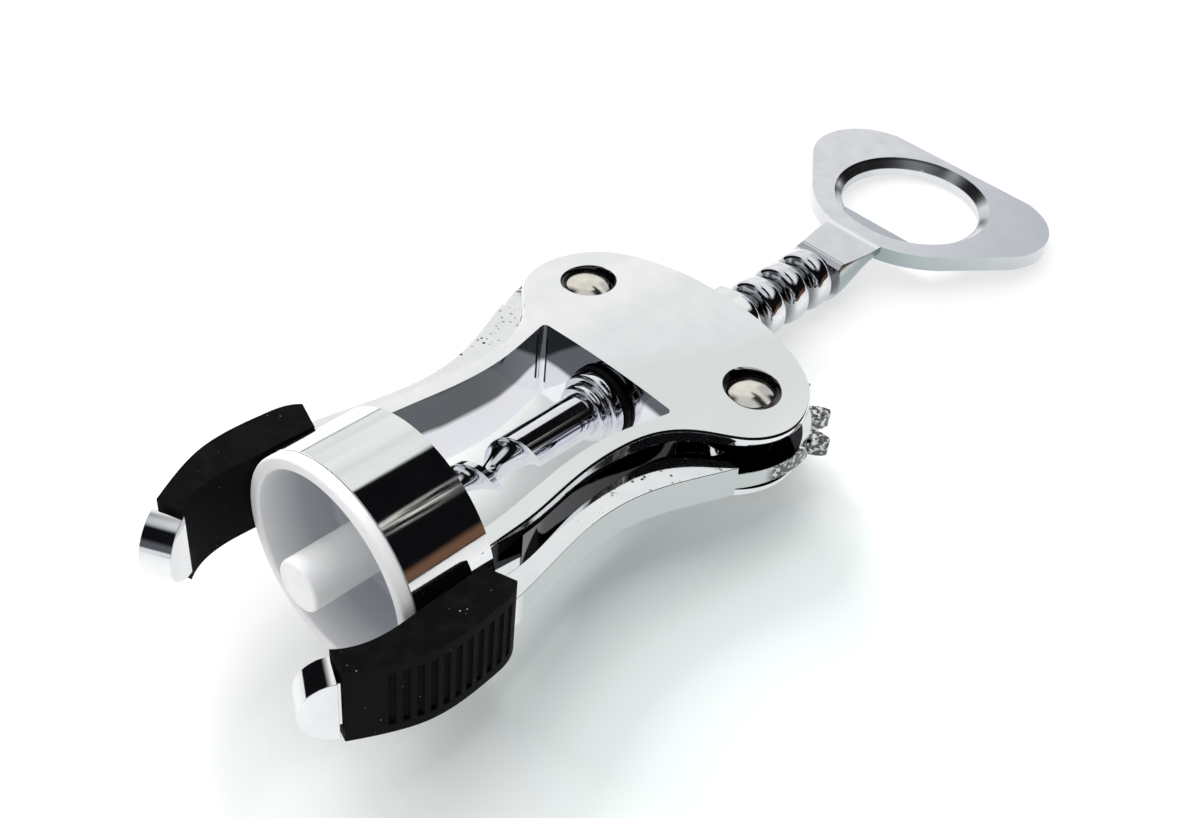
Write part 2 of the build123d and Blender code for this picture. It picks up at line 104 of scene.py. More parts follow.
def turnedMesh(corners, axis, centre=(0, 0, 0), segments=meshCare["segments"], ring=False):
    # Surface of revolution: a profile point (radius, height) turns about the axis through the centre,
    # to radius*cos(a) and radius*sin(a) across it. A ring's profile closes on itself, others end on the axis.
    profile = roundCorners(corners)
    angle = np.linspace(0, 2 * math.pi, segments, endpoint=False)
    across1, across2 = np.outer(profile[:, 0], np.cos(angle)), np.outer(profile[:, 0], np.sin(angle))
    along = np.repeat(profile[:, 1:2], segments, axis=1)
    order = {"y": (across1, along, across2), "z": (across1, across2, along)}[axis]
    return gridMesh(np.stack(order, -1) + np.array(centre, float), ring, True)


def polished(name, node, body, bevel):
    # A merged copy of the node's own shape, with flat faces joined, its sharp edges rounded by a bevel
    # of the given width, and normals weighted by face area so that the flat faces stay flat.
    bm = bmesh.new()
    bm.from_mesh(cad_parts[node].data)
    bmesh.ops.remove_doubles(bm, verts=bm.verts, dist=meshCare["mergeCopy"])
    bmesh.ops.dissolve_limit(
        bm, angle_limit=math.radians(meshCare["flatAngle"]), verts=bm.verts, edges=bm.edges)
    mesh = bpy.data.meshes.new(name)
    bm.to_mesh(mesh)
    bm.free()
    if mesh.attributes.get("custom_normal"):
        mesh.attributes.remove(mesh.attributes["custom_normal"])
    sharp = math.radians(meshCare["sharpAngle"])
    mesh.shade_smooth()
    mesh.set_sharp_from_angle(angle=sharp)
    mesh.materials.clear()
    piece = standIn(name, mesh, body, node)
    edge = piece.modifiers.new("edge", "BEVEL")
    edge.width, edge.segments = bevel * mm, meshCare["bevelSteps"]
    edge.limit_method, edge.angle_limit, edge.miter_outer = "ANGLE", sharp, "MITER_ARC"
    piece.modifiers.new("flats", "WEIGHTED_NORMAL").keep_sharp = False
    return piece


def newMaterial(name):
    material = bpy.data.materials.new(name)
    material.use_nodes = True
    tree = material.node_tree
    place = tree.nodes.new("ShaderNodeTexCoord").outputs["Object"]
    return material, tree, tree.nodes["Principled BSDF"], place


def coat(piece, material):
    piece.data.materials.clear()
    piece.data.materials.append(material)


def noise(tree, place, scale, detail=3, roughness=0.5):  # scale is in waves per metre
    texture = tree.nodes.new("ShaderNodeTexNoise")
    texture.inputs["Scale"].default_value = scale
    texture.inputs["Detail"].default_value = detail
    texture.inputs["Roughness"].default_value = roughness
    tree.links.new(place, texture.inputs["Vector"])
    return texture.outputs["Fac"]


def combine(tree, operation, first, second=0):  # each side a number or a socket
    node = tree.nodes.new("ShaderNodeMath")
    node.operation = operation
    for socket, value in ((node.inputs[0], first), (node.inputs[1], second)):
        if isinstance(value, (int, float)):
            socket.default_value = value
        else:
            tree.links.new(value, socket)
    return node.outputs["Value"]


def multiplied(tree, *factors):
    result = factors[0]
    for factor in factors[1:]:
        result = combine(tree, "MULTIPLY", result, factor)
    return result


def added(tree, *terms):
    result = terms[0]
    for term in terms[1:]:
        result = combine(tree, "ADD", result, term)
    return result


def distanceOf(tree, first, second):  # square root of the sum of two squares
    squares = [combine(tree, "MULTIPLY", side, side) for side in (first, second)]
    return combine(tree, "SQRT", added(tree, *squares))


def wander(tree, place, scale, detail, width):  # noise that strays half the width to each side of nought
    return multiplied(tree, combine(tree, "SUBTRACT", noise(tree, place, scale, detail), 0.5), width)


def ranged(tree, value, low, high, toLow, toHigh):  # remaps low..high to toLow..toHigh, and clamps
    node = tree.nodes.new("ShaderNodeMapRange")
    for socket, number in zip(("From Min", "From Max", "To Min", "To Max"), (low, high, toLow, toHigh)):
        node.inputs[socket].default_value = number
    tree.links.new(value, node.inputs["Value"])
    return node.outputs["Result"]


def ramp(tree, value, start, end):  # 0 at the start and 1 at the end, whichever is the larger
    return ranged(tree, value, start, end, 0, 1)


def inside(tree, value, low, high, soft):  # 1 where the value lies between low and high, with soft edges
    return multiplied(
        tree, ramp(tree, value, low - soft, low + soft), ramp(tree, value, high + soft, high - soft))


def dots(tree, place, scale, edge, core):  # scattered dots: 0 outside the edge, 1 inside the core
    texture = tree.nodes.new("ShaderNodeTexVoronoi")
    texture.inputs["Scale"].default_value = scale
    tree.links.new(place, texture.inputs["Vector"])
    return ramp(tree, texture.outputs["Distance"], edge, core)


def between(tree, factor, first, second):  # colour blend, each side a colour or a socket
    mix = tree.nodes.new("ShaderNodeMix")
    mix.data_type = "RGBA"
    tree.links.new(factor, mix.inputs["Factor"])
    for socket, value in ((mix.inputs["A"], first), (mix.inputs["B"], second)):
        if isinstance(value, tuple):
            socket.default_value = (*value, 1)
        else:
            tree.links.new(value, socket)
    return mix.outputs["Result"]


def blendShaders(tree, factor, first, second):
    mix = tree.nodes.new("ShaderNodeMixShader")
    for socket, value in zip(mix.inputs, (factor, first, second)):
        tree.links.new(value, socket)
    return mix.outputs["Shader"]


def bumped(tree, shader, layers):  # each layer is a height socket and a depth in millimetres
    normal = None
    for height, depth in layers:
        bump = tree.nodes.new("ShaderNodeBump")
        bump.inputs["Strength"].default_value = 1
        bump.inputs["Distance"].default_value = depth * mm
        tree.links.new(height, bump.inputs["Height"])
        if normal:
            tree.links.new(normal, bump.inputs["Normal"])
        normal = bump.outputs["Normal"]
    tree.links.new(normal, shader.inputs["Normal"])


def parts(tree, vector):
    node = tree.nodes.new("ShaderNodeSeparateXYZ")
    tree.links.new(vector, node.inputs["Vector"])
    return node.outputs["X"], node.outputs["Y"], node.outputs["Z"]


def millimetres(tree, place):
    node = tree.nodes.new("ShaderNodeVectorMath")
    node.operation = "SCALE"
    node.inputs["Scale"].default_value = 1 / mm
    tree.links.new(place, node.inputs[0])
    return parts(tree, node.outputs["Vector"])


def normalParts(tree):
    return parts(tree, tree.nodes.new("ShaderNodeTexCoord").outputs["Normal"])


def outwardOf(tree, x, nx):  # how far a face looks away from the middle plane, from -1 to 1
    return multiplied(tree, nx, combine(tree, "SIGN", x))


def fromPivot(tree, x, y):  # distance from the nearer wing's axis
    across = combine(tree, "SUBTRACT", combine(tree, "ABSOLUTE", x), pivot[0])
    return distanceOf(tree, across, combine(tree, "SUBTRACT", y, pivot[1]))


# In the tints, lengths are in millimetres. Beside the colours, a pair runs from no tint to full tint,
# three numbers are a span's low end, its high end and their softness, and noise is given by its scale and
# detail, with its width last where it wanders.
# Colours of painted shade and painted reflection on the body casting
castingShadeTints = {
    "channel": (0.035, 0.036, 0.04), "channelLevel": (4.9, 4.8), "channelSide": (13.4, 13.5),
    "channelFoot": (20.5, 20.8), "outward": (-0.35, -0.25),
    "recessShade": (0.10, 0.10, 0.10), "recessRadius": (5.0, 4.95), "recessLevel": (5.0, 7.05, 0.03),
    "wall": (0.92, 0.92, 0.97), "lowerFacing": (-0.2, -0.3), "lowerFrom": (50.0, 57.0, 0.1),
    "lowerSide": (15.2, 15.0), "strutFoot": (14.4, 14.6),
    "front": (0.13, 0.135, 0.15), "frontEdge": (-0.6, 0.5), "frontWander": (60, 2, 3.0), "frontTilt": 5.0,
    "plateReflection": (0.78, 0.81, 0.805), "plateFacing": (0.93, 0.97), "plateEdge": (3.0, 9.0),
    "plateWander": (45, 3, 14.0), "plateSlope": -0.4,
}


def castingPaintedShade(tree, place, colour):
    # Painted shade in the deep places: the channels that the wings fold into and the rivet recesses are
    # painted near black, and the walls of the window get a pale lavender painted reflection, darker towards
    # the front as a dark painted reflection. The plates' right side gets a greener painted reflection.
    look = castingShadeTints
    x, y, z = millimetres(tree, place)
    nx, ny, nz = normalParts(tree)
    side, level = combine(tree, "ABSOLUTE", x), combine(tree, "ABSOLUTE", z)
    outwards = ramp(tree, outwardOf(tree, x, nx), *look["outward"])
    inwards = combine(tree, "SUBTRACT", 1, outwards)
    # painted shade: near black in the channels that the wings fold into
    channel = multiplied(
        tree, outwards, ramp(tree, level, *look["channelLevel"]), ramp(tree, side, *look["channelSide"]),
        ramp(tree, y, *look["channelFoot"]))
    # painted shade: dark inside the rivet recesses
    recessShade = multiplied(
        tree, ramp(tree, fromPivot(tree, x, y), *look["recessRadius"]),
        inside(tree, level, *look["recessLevel"]))
    # painted reflection: the window's walls are pale lavender, with a dark painted reflection towards the
    # front
    lowerWall = multiplied(
        tree, ramp(tree, ny, *look["lowerFacing"]), inside(tree, y, *look["lowerFrom"]),
        ramp(tree, side, *look["lowerSide"]))
    sideWall = multiplied(tree, inwards, ramp(tree, y, *look["strutFoot"]))
    wall = combine(tree, "MAXIMUM", lowerWall, sideWall)
    tilt = ranged(tree, x, -look["frontTilt"], look["frontTilt"], 0, -look["frontTilt"])
    forward = added(tree, z, wander(tree, place, *look["frontWander"]), tilt)
    front = multiplied(tree, wall, ramp(tree, forward, *look["frontEdge"]))
    # painted reflection: a greener grey on the plates' right side, behind a wandering slanted edge
    slope = multiplied(tree, combine(tree, "SUBTRACT", y, pivot[1]), look["plateSlope"])
    slant = added(tree, x, slope, wander(tree, place, *look["plateWander"]))
    plateReflection = multiplied(tree, ramp(tree, nz, *look["plateFacing"]), ramp(tree, slant, *look["plateEdge"]))
    for factor, tint in ((plateReflection, "plateReflection"), (wall, "wall"), (front, "front"), (recessShade, "recessShade")):
        colour = between(tree, factor, colour, look[tint])
    return between(tree, channel, colour, look["channel"])


# Colours of painted shade and painted reflection on the levers, and of real pits near the hub
leverShadeAndPitTints = {
    "arm": (13, 15), "side": (0.57, 0.61, 0.61), "sideFacing": (0.4, 0.6),
    "inner": (0.025, 0.025, 0.028), "innerFacing": (-0.4, -0.6),
    "teethShade": (0.10, 0.10, 0.10), "teethHeight": (62, 64), "teethRadius": (10.6, 11.0),
    "teethGrain": (1300, 3), "teethEdge": (0.40, 0.52),
    "pit": (0.04, 0.04, 0.04), "pitHeight": (38, 57, 4), "pitFacing": (0.5, 0.7), "pitPatch": (240, 2),
    "pitEdge": (0.50, 0.58), "pitDots": (1000, 0.34, 0.2),
}


def leverPaintedShadeAndPits(tree, place, colour):
    # The arm's outer side gets a little green as a painted reflection, its inner side is painted near black
    # as shade, the tips of the teeth are mottled dark with painted shade, and the plating is pitted near the
    # hub.
    look = leverShadeAndPitTints
    x, y, z = millimetres(tree, place)
    nx, ny, nz = normalParts(tree)
    outward, arm = outwardOf(tree, x, nx), ramp(tree, y, *look["arm"])
    # painted reflection: the arm's outer side turns green-grey
    side = multiplied(tree, arm, ramp(tree, outward, *look["sideFacing"]))
    # painted shade: the arm's inner side near black
    inner = multiplied(tree, arm, ramp(tree, outward, *look["innerFacing"]))
    # painted shade: the teeth's tips mottled dark
    teethShade = multiplied(
        tree, ramp(tree, y, *look["teethHeight"]), ramp(tree, fromPivot(tree, x, y), *look["teethRadius"]),
        ramp(tree, noise(tree, place, *look["teethGrain"]), *look["teethEdge"]))
    pit = multiplied(
        tree, inside(tree, y, *look["pitHeight"]), ramp(tree, nz, *look["pitFacing"]),
        ramp(tree, noise(tree, place, *look["pitPatch"]), *look["pitEdge"]),
        dots(tree, place, *look["pitDots"]))
    for factor, tint in ((side, "side"), (teethShade, "teethShade"), (inner, "inner")):
        colour = between(tree, factor, colour, look[tint])
    return between(tree, pit, colour, look["pit"])


# Colours on the handle: a darker cap hook, painted shade on the edge, rim and a line across the neck, and a
# painted highlight at the crease
handleToneAndLightTints = {
    "flatFacing": (0.8, 0.9), "tongue": (0.50, 0.53, 0.57), "tongueLevel": (1.9, 2.5, 0.05),
    "tongueEnd": (132.5, 132.0), "edge": (0.36, 0.42, 0.43), "edgeFacing": (0.5, 0.3),
    "edgeRight": (0.1, 0.3), "edgeHeight": (152.0, 124.0), "lineShade": (0.30, 0.31, 0.33),
    "lineHeight": (113.48, 113.72, 0.05), "rimFacing": (0.2, 0.85, 0.05), "rimRight": (0.0, 0.2),
    "rimLevel": (3.4, 3.5), "creaseHighlight": (0.95, 0.95, 0.96), "creaseHeight": (122.4, 123.4, 0.4),
}


def handleToneAndPaintedLight(tree, place, colour):
    # The cap hook is darker, the plate's right edge darkens with painted shade towards the neck, its rim is
    # painted dark as shade, a fine dark line of painted shade crosses the neck, and a bright painted
    # highlight lies as a crease where the neck meets the plate.
    look = handleToneAndLightTints
    x, y, z = millimetres(tree, place)
    nx, ny, nz = normalParts(tree)
    flat = ramp(tree, nz, *look["flatFacing"])
    tongue = multiplied(
        tree, flat, inside(tree, z, *look["tongueLevel"]), ramp(tree, y, *look["tongueEnd"]))
    # painted shade: the plate's right edge darkens towards the neck
    edge = multiplied(
        tree, ramp(tree, nz, *look["edgeFacing"]), ramp(tree, nx, *look["edgeRight"]),
        ramp(tree, y, *look["edgeHeight"]))
    # painted shade: a dark rim along the plate's top edge, and a fine dark line across the neck
    rimShade = multiplied(
        tree, inside(tree, nz, *look["rimFacing"]), ramp(tree, nx, *look["rimRight"]),
        ramp(tree, z, *look["rimLevel"]))
    lineShade = combine(tree, "MAXIMUM", multiplied(tree, flat, inside(tree, y, *look["lineHeight"])), rimShade)
    # painted highlight: a bright crease where the neck meets the plate
    creaseHighlight = multiplied(tree, flat, inside(tree, y, *look["creaseHeight"]))
    for factor, tint in ((edge, "edge"), (tongue, "tongue"), (lineShade, "lineShade"), (creaseHighlight, "creaseHighlight")):
        colour = between(tree, factor, colour, look[tint])
    return colour


# Colours of painted shade on the rack
rackShadeTints = {
    "under": (0.50, 0.54, 0.54), "underLevel": (1.5, -2.5), "groove": (0.20, 0.21, 0.22),
    "grooveRadius": (5.5, 4.2),
}


def rackPaintedShade(tree, place, colour):
    # Painted shade on the turned rings: darker down in their grooves and on the side that faces the table.
    x, y, z = millimetres(tree, place)
    under = ramp(tree, z, *rackShadeTints["underLevel"])
    # painted shade: darker down in the grooves
    groove = ramp(tree, distanceOf(tree, x, z), *rackShadeTints["grooveRadius"])
    colour = between(tree, under, colour, rackShadeTints["under"])
    return between(tree, groove, colour, rackShadeTints["groove"])


tintSpan = (0.35, 0.65)  # the noise values between which one tone turns into the other
roughSpan = (0.3, 0.7)  # the noise values between which the roughness runs


def metalMaterial(name, look, shade=None):
    # Plated metal: a colour that drifts a little, roughness from a fine haze, and two bumps,
    # a long ripple left by polishing and a fine grain.
    material, tree, shader, place = newMaterial(name)
    haze = noise(tree, place, *look["haze"])
    shader.inputs["Metallic"].default_value = 1
    colour = between(tree, ramp(tree, haze, *tintSpan), look["tint"], look["tintDark"])
    if "pitDots" in look:
        patches = ramp(tree, noise(tree, place, *look["pitPatch"]), *look["pitEdge"])
        pit = multiplied(tree, dots(tree, place, *look["pitDots"]), patches)
        colour = between(tree, pit, colour, look["pit"])
    if shade:
        colour = shade(tree, place, colour)
    tree.links.new(colour, shader.inputs["Base Color"])
    tree.links.new(ranged(tree, haze, *roughSpan, *look["roughness"]), shader.inputs["Roughness"])
    ripple, grain = (noise(tree, place, *look[name]) for name in ("ripple", "grain"))
    bumped(tree, shader, [(ripple, look["rippleDepth"]), (grain, look["grainDepth"])])
    return material


castChrome = {
    "tint": (0.86, 0.87, 0.88), "tintDark": (0.82, 0.83, 0.85), "roughness": (0.03, 0.07),
    "haze": (260, 4), "ripple": (120, 1), "rippleDepth": 0.02, "grain": (2600, 2), "grainDepth": 0.0006,
}
leverChrome = dict(
    castChrome, pit=(0.05, 0.05, 0.05), pitDots=(900, 0.12, 0.0), pitPatch=(90, 1), pitEdge=(0.55, 0.62),
)
turnedChrome = dict(
    castChrome, tint=(0.80, 0.81, 0.84), tintDark=(0.74, 0.75, 0.79), rippleDepth=0.01,
)
satinChrome = dict(
    castChrome, tint=(0.74, 0.75, 0.78), tintDark=(0.69, 0.70, 0.73), roughness=(0.16, 0.24),
    rippleDepth=0.01, grain=(5200, 2), grainDepth=0.002,
)
rivetSteel = dict(
    castChrome, tint=(0.80, 0.77, 0.70), tintDark=(0.70, 0.67, 0.60), roughness=(0.09, 0.16),
    ripple=(350, 1), rippleDepth=0.015, grain=(5200, 2), grainDepth=0.0015,
)
chromeMaterial = metalMaterial("castChrome", castChrome, castingPaintedShade)
leverMaterial = metalMaterial("leverChrome", leverChrome, leverPaintedShadeAndPits)
turnedMaterial = metalMaterial("turnedChrome", turnedChrome)
rackMaterial = metalMaterial("rackChrome", turnedChrome, rackPaintedShade)
satinMaterial = metalMaterial("satinChrome", satinChrome, handleToneAndPaintedLight)
rivetMaterial = metalMaterial("rivetSteel", rivetSteel)

# Clouds are noise scale and detail, and each bump is noise scale, detail and depth in millimetres
linerLook = {
    "colour": (0.93, 0.93, 0.93), "shade": (0.88, 0.88, 0.90), "cloud": (140, 3), "cloudSpan": (0, 1),
    "roughness": (0.38, 0.5), "bumps": ((3000, 2, 0.002), (200, 1, 0.02)), "sockets": {},
    # deep is a painted shade that darkens the cup towards its floor
    "deep": (0.50, 0.52, 0.56), "shadeHeight": (-2, 6),
}
guardLook = {
    "colour": (0.97, 0.97, 0.96), "shade": (0.90, 0.91, 0.93), "cloud": (220, 3), "cloudSpan": tintSpan,
    "roughness": (0.3, 0.42), "bumps": ((500, 2, 0.02),), "sockets": {"IOR": 1.5},
}
rubberLook = {
    "colour": (0.002, 0.002, 0.0024), "shade": (0.006, 0.006, 0.0065), "cloud": (300, 5, 0.6),
    "cloudSpan": (0.45, 0.7), "roughness": (0.7, 0.85), "bumps": ((3800, 3, 0.012), (180, 2, 0.05)),
    "sockets": {"Specular IOR Level": 0.1},
    "dust": (0.4, 0.4, 0.38), "dustGrain": (2400, 1), "dustEdge": (0.79, 0.81),
}
washerLook = dict(rubberLook, roughness=(0.4, 0.55))


def cupPaintedShade(tree, place, colour):  # painted shade: the cup grows darker towards its floor
    height = millimetres(tree, place)[1]
    return between(tree, ramp(tree, height, *linerLook["shadeHeight"]), colour, linerLook["deep"])


def dustShade(tree, place, colour):  # a few pale specks of dust
    dust = noise(tree, place, *rubberLook["dustGrain"])
    return between(tree, ramp(tree, dust, *rubberLook["dustEdge"]), colour, rubberLook["dust"])


def mouldedMaterial(name, look, shade=None):
    # Plastic or rubber: two tones that turn into each other with a cloud, which also sets the roughness
    material, tree, shader, place = newMaterial(name)
    cloud = noise(tree, place, *look["cloud"])
    colour = between(tree, ramp(tree, cloud, *look["cloudSpan"]), look["colour"], look["shade"])
    if shade:
        colour = shade(tree, place, colour)
    tree.links.new(colour, shader.inputs["Base Color"])
    tree.links.new(ranged(tree, cloud, *roughSpan, *look["roughness"]), shader.inputs["Roughness"])
    for socket, value in look["sockets"].items():
        shader.inputs[socket].default_value = value
    bumped(tree, shader, [(noise(tree, place, scale, detail), deep) for scale, detail, deep in look["bumps"]])
    return material


linerMaterial = mouldedMaterial("linerPlastic", linerLook, cupPaintedShade)
guardMaterial = mouldedMaterial("guardPlastic", guardLook)
gripMaterial = mouldedMaterial("gripRubber", rubberLook, dustShade)
washerMaterial = mouldedMaterial("washerRubber", washerLook, dustShade)
print("materials made")

# Each casting: its node, body and slot, the width of its rounded edges in millimetres, and its material
castings = {
    "bodyCasting": ("body_casting", "body", "chrome", 0.22, chromeMaterial),
    "rightLever": ("right_lever", "right_wing", "chrome", 0.2, leverMaterial),
    "leftLever": ("left_lever", "left_wing", "chrome", 0.2, leverMaterial),
    "rightGrip": ("right_grip", "right_wing", "black_rubber", 0.3, gripMaterial),
    "leftGrip": ("left_grip", "left_wing", "black_rubber", 0.3, gripMaterial),
    "openerHandle": ("opener_handle", "spindle", "chrome", 0.2, satinMaterial),
}
for name, (node, body, slotName, bevel, material) in castings.items():
    coat(polished(name, node, body, bevel), material)
print("castings made")

# From here on, a profile is a list of corners: radius, height and how far the corner is rounded
rivet = {
    "shaft": 2.0, "head": 4.1, "seat": 5.6, "top": 7.0, "edge": 0.45, "crown": 2.2, "round": 0.1,
    "domeSteps": 12, "segments": 64,
}


def rivetMesh(x):
    # A shaft between two domed heads: half of the profile, then its mirror image across the middle plane.
    # The dome's height falls with a power of the share of the radius.
    share = np.linspace(0, 1, rivet["domeSteps"])
    drop = (rivet["top"] - rivet["seat"] - rivet["edge"]) * share ** rivet["crown"]
    dome = np.stack([rivet["head"] * share, rivet["top"] - drop, share * 0], -1)
    seat = [(rivet["head"], rivet["seat"], rivet["round"]), (rivet["shaft"], rivet["seat"], rivet["round"])]
    upper = [tuple(corner) for corner in dome] + seat
    lower = [(radius, -height, r) for radius, height, r in reversed(upper)]
    return turnedMesh(upper + lower, "z", (x, pivot[1], 0), rivet["segments"])


for side, place in (("right", pivot[0]), ("left", -pivot[0])):
    piece = closedObject(side + "Rivet", rivetMesh(place), "body", side + "_pivot_rivet")
    coat(piece, rivetMaterial)

rack = {
    "bottom": 54.2, "journal": 4.8, "journalTop": 57.5, "root": 4.0, "rootStart": 0.8, "crest": 5.7,
    "first": 61.75, "pitch": 6.65, "rings": 8, "crestHalf": 1.84, "rootHalf": 2.63, "rootRound": 0.5,
    "crestRound": 1.1, "top": 112.0, "spigot": 2.4, "spigotTop": 117.0,
}
rings = []
for number in range(rack["rings"]):
    middle = rack["first"] + number * rack["pitch"]
    rings += [
        (rack["root"], middle - rack["rootHalf"], rack["rootRound"]),
        (rack["crest"], middle - rack["crestHalf"], rack["crestRound"]),
        (rack["crest"], middle + rack["crestHalf"], rack["crestRound"]),
        (rack["root"], middle + rack["rootHalf"], rack["rootRound"]),
    ]
rackProfile = [
    (0, rack["bottom"], 0), (rack["journal"], rack["bottom"], 0.15),
    (rack["journal"], rack["journalTop"], 0.2),
    (rack["root"], rack["journalTop"] + rack["rootStart"], 0.2), *rings, (rack["root"], rack["top"], 0.1),
    (rack["spigot"], rack["top"], 0.1), (rack["spigot"], rack["spigotTop"], 0.3), (0, rack["spigotTop"], 0),
]
rackPiece = closedObject("rackShaft", turnedMesh(rackProfile, "y"), "spindle", "rack_shaft")
coat(rackPiece, rackMaterial)

stop = {
    "top": 54.2, "radius": 6.2, "thickness": 2.2, "step": 5.0, "stepThickness": 2.0, "flare": 0.3,
    "flareHeight": 0.6, "bore": 2.2,
}
stepTop = stop["top"] - stop["thickness"]
stepEnd = stepTop - stop["stepThickness"]
stopProfile = [
    (stop["bore"], stop["top"], 0.05), (stop["radius"], stop["top"], 0.5), (stop["radius"], stepTop, 0.8),
    (stop["step"] - stop["flare"], stepTop, 0.3), (stop["step"], stepTop - stop["flareHeight"], 0.4),
    (stop["step"], stepEnd, 0.8), (stop["bore"], stepEnd, 0.05),
]
stopMesh = turnedMesh(stopProfile, "y", ring=True)
coat(closedObject("stopCollar", stopMesh, "spindle", "stop_collar"), turnedMaterial)

washer = {"bottom": 54.25, "top": 55.25, "radius": 6.6, "bore": 4.88, "edge": 0.45, "boreEdge": 0.1}
washerProfile = [
    (washer["bore"], washer["bottom"], washer["boreEdge"]),
    (washer["radius"], washer["bottom"], washer["edge"]),
    (washer["radius"], washer["top"], washer["edge"]),
    (washer["bore"], washer["top"], washer["boreEdge"]),
]
washerMesh = turnedMesh(washerProfile, "y", ring=True)
coat(closedObject("stopWasher", washerMesh, "washer", "stop_washer"), washerMaterial)

liner = {
    "lip": 18.3, "outer": 17.0, "inner": 16.1, "hole": 5.0, "lipEnd": -2.0, "floor": 11.1, "top": 12.6,
    "segments": 160,
}
linerProfile = [
    (liner["inner"], liner["lipEnd"], 0.6), (liner["lip"], liner["lipEnd"], 0.7), (liner["lip"], 0, 0.15),
    (liner["outer"], 0, 0.05), (liner["outer"], liner["top"], 0.3), (liner["hole"], liner["top"], 0.2),
    (liner["hole"], liner["floor"], 0.2), (liner["inner"], liner["floor"], 1.0),
]
linerMesh = turnedMesh(linerProfile, "y", segments=liner["segments"], ring=True)
coat(closedObject("collarLiner", linerMesh, "body", "collar_liner"), linerMaterial)

guard = {"radius": 4.3, "wall": 0.45, "end": -7.0, "floor": 0.8, "top": 12.0}
guardBore = guard["radius"] - guard["wall"]
guardFloor = guard["end"] + guard["floor"]
guardProfile = [
    (0, guard["end"], 0), (guard["radius"], guard["end"], 0.7), (guard["radius"], guard["top"], 0.15),
    (guardBore, guard["top"], 0.15), (guardBore, guardFloor, 0.3), (0, guardFloor, 0),
]
guardMesh = turnedMesh(guardProfile, "y")
coat(closedObject("tipGuard", guardMesh, "guard", "tip_guard"), guardMaterial)
print("turned pieces made")

worm = {
    "tip": -4.6, "point": 9.0, "pointRadius": 0.15, "leastRadius": 0.12, "thread": 36.2, "runOut": 2.6,
    "top": 50.0, "crest": 3.65, "shank": 3.75, "pitch": 9.3, "halfWidth": 4.1, "depth": 2.5, "skew": 0.35,
    "phase": 3.5, "spigot": 2.2, "spigotTop": 69.0, "sharpAngle": 35,
    "grooveSteps": 60, "landSteps": 12, "threadSteps": 240, "shankSteps": 10, "shankStart": 0.5,
}


def wormMesh():
    # Rod with one wide groove wound along it, which leaves a narrow sharp land. Every column of the grid
    # follows the right-hand helix, so the groove's edges lie on columns. With s as the distance from the
    # groove's middle over its half width, the radius is rod - depth * sqrt(1 - s^2) * (1 - skew * s), so the
    # groove is steeper on its lower side. A smoothstep of the middle's height ends the groove at the shank,
    # and the point is a cone.
    perTurn = 2 * math.pi / worm["pitch"]
    edge = worm["halfWidth"] * perTurn
    across = edge * np.sin(np.linspace(-math.pi / 2, math.pi / 2, worm["grooveSteps"]))
    land = np.linspace(edge, 2 * math.pi - edge, worm["landSteps"], endpoint=False)
    turn = np.concatenate([across[:-1], land])
    grooveEnd = worm["thread"] + worm["halfWidth"]
    threadRows = np.linspace(worm["tip"], grooveEnd, worm["threadSteps"])
    shankRows = np.linspace(grooveEnd + worm["shankStart"], worm["top"], worm["shankSteps"])
    height = np.concatenate([threadRows, shankRows])
    y, a = np.meshgrid(height, turn, indexing="ij")
    angle = a - np.minimum(y, grooveEnd) * perTurn + worm["phase"]
    offset = ((a + math.pi) % (2 * math.pi) - math.pi) / perTurn
    s = offset / worm["halfWidth"]
    fade = np.clip((worm["thread"] - (y - offset)) / worm["runOut"], 0, 1)
    groove = np.sqrt(np.maximum(1 - s ** 2, 0)) * (1 - worm["skew"] * s) * fade ** 2 * (3 - 2 * fade)
    share = np.clip((y - worm["thread"]) / (worm["top"] - worm["thread"]), 0, 1)
    rod = worm["crest"] + (worm["shank"] - worm["crest"]) * share
    cone = worm["pointRadius"] + (y - worm["tip"]) / worm["point"] * worm["crest"]
    radius = np.maximum(np.minimum(rod - worm["depth"] * groove, cone), worm["leastRadius"])
    body = np.stack([radius * np.cos(angle), y, radius * np.sin(angle)], -1)
    last, none = angle[-1], angle[-1] * 0
    ends = [(worm["spigot"], worm["top"]), (worm["spigot"], worm["spigotTop"]), (0, worm["spigotTop"])]
    caps = [np.stack([r * np.cos(last), none + h, r * np.sin(last)], -1)[None] for r, h in ends]
    tip = np.stack([none, none + worm["tip"], none], -1)[None]
    return gridMesh(np.concatenate([tip, body, *caps]), False, True)


wormPiece = closedObject("wormScrew", wormMesh(), "spindle", "worm")
wormPiece.data.set_sharp_from_angle(angle=math.radians(worm["sharpAngle"]))
coat(wormPiece, turnedMaterial)
for node in ("worm_pin", "handle_pin"):
    coat(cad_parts[node], rivetMaterial)
print("worm made")


def unit(vector):
    return np.array(vector, float) / np.linalg.norm(vector)


def placeFacing(obj, side, way, place):  # local X is the side, and the camera or lamp looks against the way
    matrix = np.eye(4)
    matrix[:3, :3] = np.stack([side, np.cross(way, side), way], 1)
    matrix[:3, 3] = place
    obj.matrix_world = Matrix(matrix.tolist())
    bpy.context.scene.collection.objects.link(obj)


camera = {
    "place": (0.1230, -0.0891, 0.1643), "right": (0.710, 0.700, 0.080), "back": (0.489, -0.572, 0.659),
    "lens": 45.42, "sensor": 36, "clip": (0.01, 20),
}


def makeCamera():
    data = bpy.data.cameras.new("camera")
    data.lens, data.sensor_width, data.sensor_fit = camera["lens"], camera["sensor"], "AUTO"
    data.clip_start, data.clip_end = camera["clip"]
    obj = bpy.data.objects.new("camera", data)
    back = unit(camera["back"])
    right = unit(camera["right"] - back * (back @ np.array(camera["right"])))
    placeFacing(obj, right, back, camera["place"])
    bpy.context.scene.camera = obj


